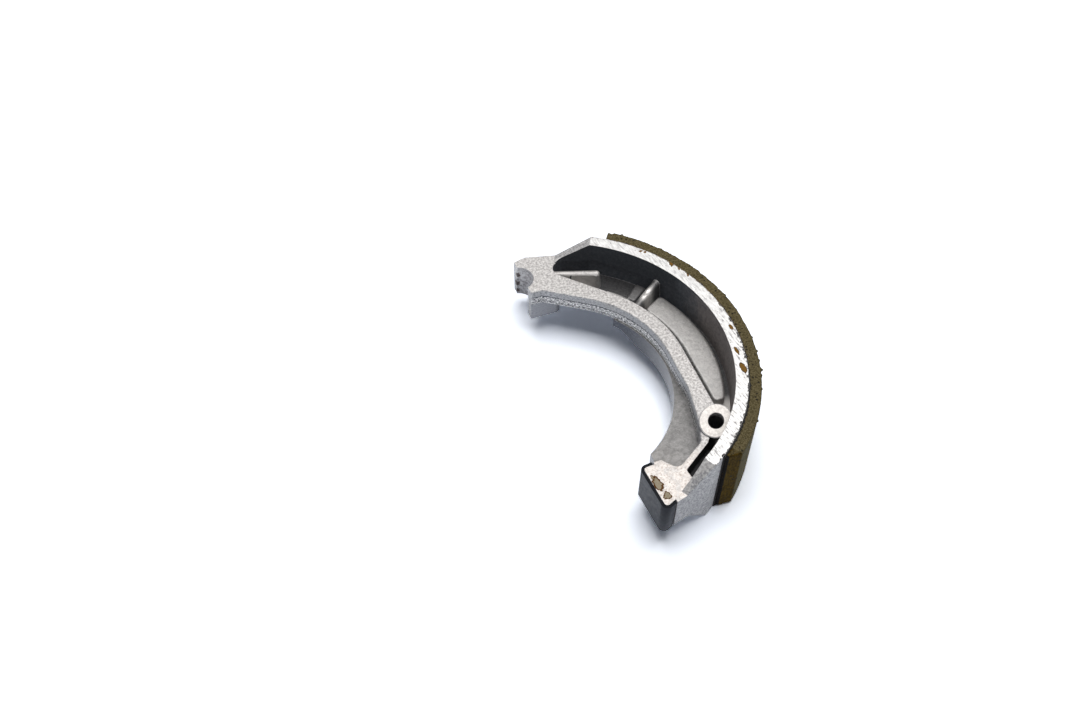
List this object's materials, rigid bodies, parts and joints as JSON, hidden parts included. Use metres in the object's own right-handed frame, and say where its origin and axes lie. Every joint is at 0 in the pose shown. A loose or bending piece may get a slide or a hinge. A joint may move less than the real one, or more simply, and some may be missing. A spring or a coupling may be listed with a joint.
{
  "type": "brake shoe",
  "caption": "Curved drum brake shoe: die-cast carrier with a pocketed web, bonded friction lining, anchor notch and steel-capped cam end.",
  "frame": {"origin": "on the drum's axis, in the plane of the lower edge that the shoe lies on", "axes": "+Z along the drum's axis, +X through the middle of the lining, +Y towards the anchor end"},
  "size_m": [0.0531, 0.0978, 0.025],
  "materials": {
    "cast_aluminium": "as cast, machined on the table's edges",
    "friction_material": "matte, speckled",
    "adhesive": "dull, dark amber",
    "blackened_steel": "smooth blue-black"
  },
  "bodies": {
    "root": {"shoe_casting": "cast_aluminium", "friction_lining": "friction_material", "bond_layer": "adhesive", "cam_cap": "blackened_steel"}
  },
  "joints": []
}
